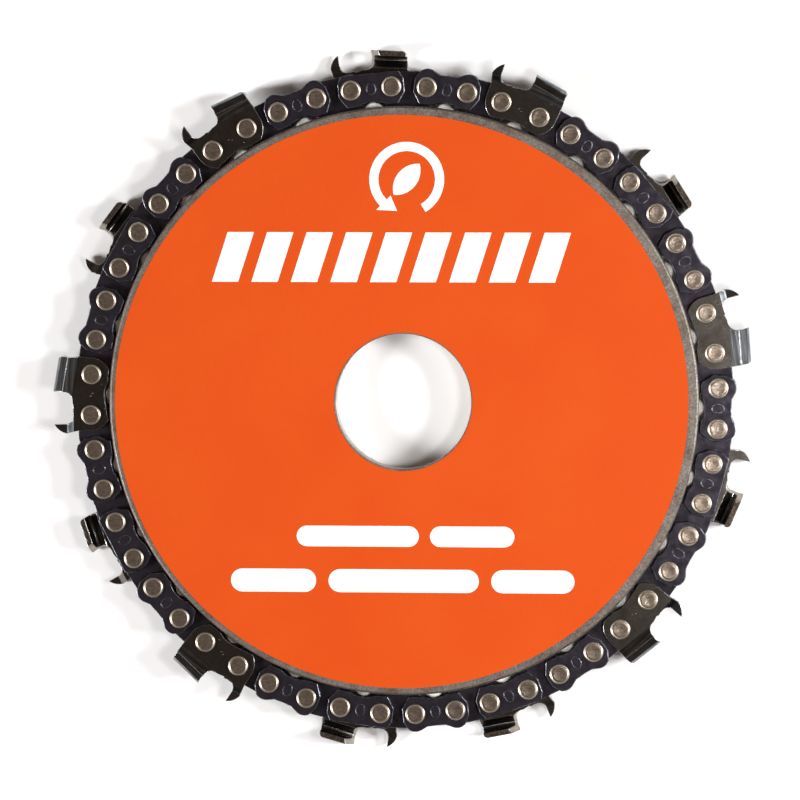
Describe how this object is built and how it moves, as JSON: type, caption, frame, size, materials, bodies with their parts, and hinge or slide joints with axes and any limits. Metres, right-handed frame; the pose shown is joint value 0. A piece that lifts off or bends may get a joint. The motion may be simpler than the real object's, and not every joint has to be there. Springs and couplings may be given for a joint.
{
  "type": "angle grinder carving disc",
  "caption": "Wood carving disc for an angle grinder: toothed saw-chain ring with hooked cutters held round a flat plate stack with a central bore and a round label.",
  "frame": {"origin": "centre of the spindle bore, on the mid plane of the plate stack", "axes": "+Z along the bore out of the labelled front face; +X and +Y lie in the disc, and seen from +Z the cutters face anticlockwise"},
  "size_m": [0.1139, 0.1144, 0.0058],
  "materials": {
    "plate_steel": "ground",
    "label_print": "printed vinyl",
    "screw_black": "black oxide",
    "cutter_steel": "dark oiled steel",
    "chain_black": "black oxide",
    "rivet_steel": "peened"
  },
  "bodies": {
    "disc": {"front_plate": "plate_steel", "tooth_plate": "plate_steel", "back_plate": "plate_steel", "label_disc": "label_print", "plate_screws": "screw_black"},
    "chain": {"tie_straps_front": "chain_black", "tie_straps_back": "chain_black", "chain_rivets": "rivet_steel"},
    "lead_link_01": {"drive_link_01": "chain_black"},
    "cutter_link_01": {"cutter_01": "cutter_steel", "preset_strap_01": "chain_black"},
    "trail_link_01": {"drive_link_02": "chain_black"},
    "lead_link_02": {"drive_link_03": "chain_black"},
    "cutter_link_02": {"cutter_02": "cutter_steel", "preset_strap_02": "chain_black"},
    "trail_link_02": {"drive_link_04": "chain_black"},
    "lead_link_03": {"drive_link_05": "chain_black"},
    "cutter_link_03": {"cutter_03": "cutter_steel", "preset_strap_03": "chain_black"},
    "trail_link_03": {"drive_link_06": "chain_black"},
    "lead_link_04": {"drive_link_07": "chain_black"},
    "cutter_link_04": {"cutter_04": "cutter_steel", "preset_strap_04": "chain_black"},
    "trail_link_04": {"drive_link_08": "chain_black"},
    "lead_link_05": {"drive_link_09": "chain_black"},
    "cutter_link_05": {"cutter_05": "cutter_steel", "preset_strap_05": "chain_black"},
    "trail_link_05": {"drive_link_10": "chain_black"},
    "lead_link_06": {"drive_link_11": "chain_black"},
    "cutter_link_06": {"cutter_06": "cutter_steel", "preset_strap_06": "chain_black"},
    "trail_link_06": {"drive_link_12": "chain_black"},
    "lead_link_07": {"drive_link_13": "chain_black"},
    "cutter_link_07": {"cutter_07": "cutter_steel", "preset_strap_07": "chain_black"},
    "trail_link_07": {"drive_link_14": "chain_black"},
    "lead_link_08": {"drive_link_15": "chain_black"},
    "cutter_link_08": {"cutter_08": "cutter_steel", "preset_strap_08": "chain_black"},
    "trail_link_08": {"drive_link_16": "chain_black"},
    "lead_link_09": {"drive_link_17": "chain_black"},
    "cutter_link_09": {"cutter_09": "cutter_steel", "preset_strap_09": "chain_black"},
    "trail_link_09": {"drive_link_18": "chain_black"},
    "lead_link_10": {"drive_link_19": "chain_black"},
    "cutter_link_10": {"cutter_10": "cutter_steel", "preset_strap_10": "chain_black"},
    "trail_link_10": {"drive_link_20": "chain_black"},
    "lead_link_11": {"drive_link_21": "chain_black"},
    "cutter_link_11": {"cutter_11": "cutter_steel", "preset_strap_11": "chain_black"},
    "trail_link_11": {"drive_link_22": "chain_black"},
    "lead_link_12": {"drive_link_23": "chain_black"},
    "cutter_link_12": {"cutter_12": "cutter_steel", "preset_strap_12": "chain_black"},
    "trail_link_12": {"drive_link_24": "chain_black"},
    "lead_link_13": {"drive_link_25": "chain_black"},
    "cutter_link_13": {"cutter_13": "cutter_steel", "preset_strap_13": "chain_black"},
    "trail_link_13": {"drive_link_26": "chain_black"}
  },
  "joints": [
    {"name": "chain_slip", "type": "hinge", "parent": "disc", "child": "chain", "pos_m": [0, 0, 0], "axis": [0, 0, 1], "range_deg": [-0.4, 0.4]},
    {"name": "lead_hinge_01", "type": "hinge", "parent": "chain", "child": "lead_link_01", "pos_m": [-0.01417, 0.04928, 0], "axis": [0, 0, 1], "range_deg": [-1.2, 1.2]},
    {"name": "cutter_hinge_01", "type": "hinge", "parent": "lead_link_01", "child": "cutter_link_01", "pos_m": [-0.00856, 0.05056, 0], "axis": [0, 0, 1], "range_deg": [-3.3, 3.3]},
    {"name": "trail_hinge_01", "type": "hinge", "parent": "chain", "child": "trail_link_01", "pos_m": [0.00379, 0.05114, 0], "axis": [0, 0, 1], "range_deg": [-1.2, 1.2]},
    {"name": "lead_hinge_02", "type": "hinge", "parent": "chain", "child": "lead_link_02", "pos_m": [0.01036, 0.05022, 0], "axis": [0, 0, 1], "range_deg": [-1.2, 1.2]},
    {"name": "cutter_hinge_02", "type": "hinge", "parent": "lead_link_02", "child": "cutter_link_02", "pos_m": [0.01592, 0.04875, 0], "axis": [0, 0, 1], "range_deg": [-3.3, 3.3]},
    {"name": "trail_hinge_02", "type": "hinge", "parent": "chain", "child": "trail_link_02", "pos_m": [0.02712, 0.04352, 0], "axis": [0, 0, 1], "range_deg": [-1.2, 1.2]},
    {"name": "lead_hinge_03", "type": "hinge", "parent": "chain", "child": "lead_link_03", "pos_m": [0.03251, 0.03966, 0], "axis": [0, 0, 1], "range_deg": [-1.2, 1.2]},
    {"name": "cutter_hinge_03", "type": "hinge", "parent": "lead_link_03", "child": "cutter_link_03", "pos_m": [0.03675, 0.03577, 0], "axis": [0, 0, 1], "range_deg": [-3.3, 3.3]},
    {"name": "trail_hinge_03", "type": "hinge", "parent": "chain", "child": "trail_link_03", "pos_m": [0.04424, 0.02593, 0], "axis": [0, 0, 1], "range_deg": [-1.2, 1.2]},
    {"name": "lead_hinge_04", "type": "hinge", "parent": "chain", "child": "lead_link_04", "pos_m": [0.04722, 0.02, 0], "axis": [0, 0, 1], "range_deg": [-1.2, 1.2]},
    {"name": "cutter_hinge_04", "type": "hinge", "parent": "lead_link_04", "child": "cutter_link_04", "pos_m": [0.04916, 0.01459, 0], "axis": [0, 0, 1], "range_deg": [-3.3, 3.3]},
    {"name": "trail_hinge_04", "type": "hinge", "parent": "chain", "child": "trail_link_04", "pos_m": [0.05122, 0.0024, 0], "axis": [0, 0, 1], "range_deg": [-1.2, 1.2]},
    {"name": "lead_hinge_05", "type": "hinge", "parent": "chain", "child": "lead_link_05", "pos_m": [0.05111, -0.00423, 0], "axis": [0, 0, 1], "range_deg": [-1.2, 1.2]},
    {"name": "cutter_hinge_05", "type": "hinge", "parent": "lead_link_05", "child": "cutter_link_05", "pos_m": [0.05031, -0.00992, 0], "axis": [0, 0, 1], "range_deg": [-3.3, 3.3]},
    {"name": "trail_hinge_05", "type": "hinge", "parent": "chain", "child": "trail_link_05", "pos_m": [0.04647, -0.02168, 0], "axis": [0, 0, 1], "range_deg": [-1.2, 1.2]},
    {"name": "lead_hinge_06", "type": "hinge", "parent": "chain", "child": "lead_link_06", "pos_m": [0.04328, -0.0275, 0], "axis": [0, 0, 1], "range_deg": [-1.2, 1.2]},
    {"name": "cutter_hinge_06", "type": "hinge", "parent": "lead_link_06", "child": "cutter_link_06", "pos_m": [0.03994, -0.03217, 0], "axis": [0, 0, 1], "range_deg": [-3.3, 3.3]},
    {"name": "trail_hinge_06", "type": "hinge", "parent": "chain", "child": "trail_link_06", "pos_m": [0.03108, -0.04079, 0], "axis": [0, 0, 1], "range_deg": [-1.2, 1.2]},
    {"name": "lead_hinge_07", "type": "hinge", "parent": "chain", "child": "lead_link_07", "pos_m": [0.02555, -0.04446, 0], "axis": [0, 0, 1], "range_deg": [-1.2, 1.2]},
    {"name": "cutter_hinge_07", "type": "hinge", "parent": "lead_link_07", "child": "cutter_link_07", "pos_m": [0.02041, -0.04704, 0], "axis": [0, 0, 1], "range_deg": [-3.3, 3.3]},
    {"name": "trail_hinge_07", "type": "hinge", "parent": "chain", "child": "trail_link_07", "pos_m": [0.00856, -0.05056, 0], "axis": [0, 0, 1], "range_deg": [-1.2, 1.2]},
    {"name": "lead_hinge_08", "type": "hinge", "parent": "chain", "child": "lead_link_08", "pos_m": [0.00196, -0.05124, 0], "axis": [0, 0, 1], "range_deg": [-1.2, 1.2]},
    {"name": "cutter_hinge_08", "type": "hinge", "parent": "lead_link_08", "child": "cutter_link_08", "pos_m": [-0.00379, -0.05114, 0], "axis": [0, 0, 1], "range_deg": [-3.3, 3.3]},
    {"name": "trail_hinge_08", "type": "hinge", "parent": "chain", "child": "trail_link_08", "pos_m": [-0.01592, -0.04875, 0], "axis": [0, 0, 1], "range_deg": [-1.2, 1.2]},
    {"name": "lead_hinge_09", "type": "hinge", "parent": "chain", "child": "lead_link_09", "pos_m": [-0.02208, -0.04628, 0], "axis": [0, 0, 1], "range_deg": [-1.2, 1.2]},
    {"name": "cutter_hinge_09", "type": "hinge", "parent": "lead_link_09", "child": "cutter_link_09", "pos_m": [-0.02712, -0.04352, 0], "axis": [0, 0, 1], "range_deg": [-3.3, 3.3]},
    {"name": "trail_hinge_09", "type": "hinge", "parent": "chain", "child": "trail_link_09", "pos_m": [-0.03675, -0.03577, 0], "axis": [0, 0, 1], "range_deg": [-1.2, 1.2]},
    {"name": "lead_hinge_10", "type": "hinge", "parent": "chain", "child": "lead_link_10", "pos_m": [-0.04106, -0.03072, 0], "axis": [0, 0, 1], "range_deg": [-1.2, 1.2]},
    {"name": "cutter_hinge_10", "type": "hinge", "parent": "lead_link_10", "child": "cutter_link_10", "pos_m": [-0.04424, -0.02593, 0], "axis": [0, 0, 1], "range_deg": [-3.3, 3.3]},
    {"name": "trail_hinge_10", "type": "hinge", "parent": "chain", "child": "trail_link_10", "pos_m": [-0.04916, -0.01459, 0], "axis": [0, 0, 1], "range_deg": [-1.2, 1.2]},
    {"name": "lead_hinge_11", "type": "hinge", "parent": "chain", "child": "lead_link_11", "pos_m": [-0.05063, -0.00812, 0], "axis": [0, 0, 1], "range_deg": [-1.2, 1.2]},
    {"name": "cutter_hinge_11", "type": "hinge", "parent": "lead_link_11", "child": "cutter_link_11", "pos_m": [-0.05122, -0.0024, 0], "axis": [0, 0, 1], "range_deg": [-3.3, 3.3]},
    {"name": "trail_hinge_11", "type": "hinge", "parent": "chain", "child": "trail_link_11", "pos_m": [-0.05031, 0.00992, 0], "axis": [0, 0, 1], "range_deg": [-1.2, 1.2]},
    {"name": "lead_hinge_12", "type": "hinge", "parent": "chain", "child": "lead_link_12", "pos_m": [-0.04861, 0.01634, 0], "axis": [0, 0, 1], "range_deg": [-1.2, 1.2]},
    {"name": "cutter_hinge_12", "type": "hinge", "parent": "lead_link_12", "child": "cutter_link_12", "pos_m": [-0.04647, 0.02168, 0], "axis": [0, 0, 1], "range_deg": [-3.3, 3.3]},
    {"name": "trail_hinge_12", "type": "hinge", "parent": "chain", "child": "trail_link_12", "pos_m": [-0.03994, 0.03217, 0], "axis": [0, 0, 1], "range_deg": [-1.2, 1.2]},
    {"name": "lead_hinge_13", "type": "hinge", "parent": "chain", "child": "lead_link_13", "pos_m": [-0.03545, 0.03706, 0], "axis": [0, 0, 1], "range_deg": [-1.2, 1.2]},
    {"name": "cutter_hinge_13", "type": "hinge", "parent": "lead_link_13", "child": "cutter_link_13", "pos_m": [-0.03108, 0.04079, 0], "axis": [0, 0, 1], "range_deg": [-3.3, 3.3]},
    {"name": "trail_hinge_13", "type": "hinge", "parent": "chain", "child": "trail_link_13", "pos_m": [-0.02041, 0.04704, 0], "axis": [0, 0, 1], "range_deg": [-1.2, 1.2]}
  ],
  "couplings": [
    {"joint": "cutter_hinge_01", "follows": "lead_hinge_01", "ratio": -2.7198},
    {"joint": "trail_hinge_01", "follows": "lead_hinge_01", "ratio": 1},
    {"joint": "cutter_hinge_02", "follows": "lead_hinge_02", "ratio": -2.7198},
    {"joint": "trail_hinge_02", "follows": "lead_hinge_02", "ratio": 1},
    {"joint": "cutter_hinge_03", "follows": "lead_hinge_03", "ratio": -2.7198},
    {"joint": "trail_hinge_03", "follows": "lead_hinge_03", "ratio": 1},
    {"joint": "cutter_hinge_04", "follows": "lead_hinge_04", "ratio": -2.7198},
    {"joint": "trail_hinge_04", "follows": "lead_hinge_04", "ratio": 1},
    {"joint": "cutter_hinge_05", "follows": "lead_hinge_05", "ratio": -2.7198},
    {"joint": "trail_hinge_05", "follows": "lead_hinge_05", "ratio": 1},
    {"joint": "cutter_hinge_06", "follows": "lead_hinge_06", "ratio": -2.7198},
    {"joint": "trail_hinge_06", "follows": "lead_hinge_06", "ratio": 1},
    {"joint": "cutter_hinge_07", "follows": "lead_hinge_07", "ratio": -2.7198},
    {"joint": "trail_hinge_07", "follows": "lead_hinge_07", "ratio": 1},
    {"joint": "cutter_hinge_08", "follows": "lead_hinge_08", "ratio": -2.7198},
    {"joint": "trail_hinge_08", "follows": "lead_hinge_08", "ratio": 1},
    {"joint": "cutter_hinge_09", "follows": "lead_hinge_09", "ratio": -2.7198},
    {"joint": "trail_hinge_09", "follows": "lead_hinge_09", "ratio": 1},
    {"joint": "cutter_hinge_10", "follows": "lead_hinge_10", "ratio": -2.7198},
    {"joint": "trail_hinge_10", "follows": "lead_hinge_10", "ratio": 1},
    {"joint": "cutter_hinge_11", "follows": "lead_hinge_11", "ratio": -2.7198},
    {"joint": "trail_hinge_11", "follows": "lead_hinge_11", "ratio": 1},
    {"joint": "cutter_hinge_12", "follows": "lead_hinge_12", "ratio": -2.7198},
    {"joint": "trail_hinge_12", "follows": "lead_hinge_12", "ratio": 1},
    {"joint": "cutter_hinge_13", "follows": "lead_hinge_13", "ratio": -2.7198},
    {"joint": "trail_hinge_13", "follows": "lead_hinge_13", "ratio": 1}
  ]
}
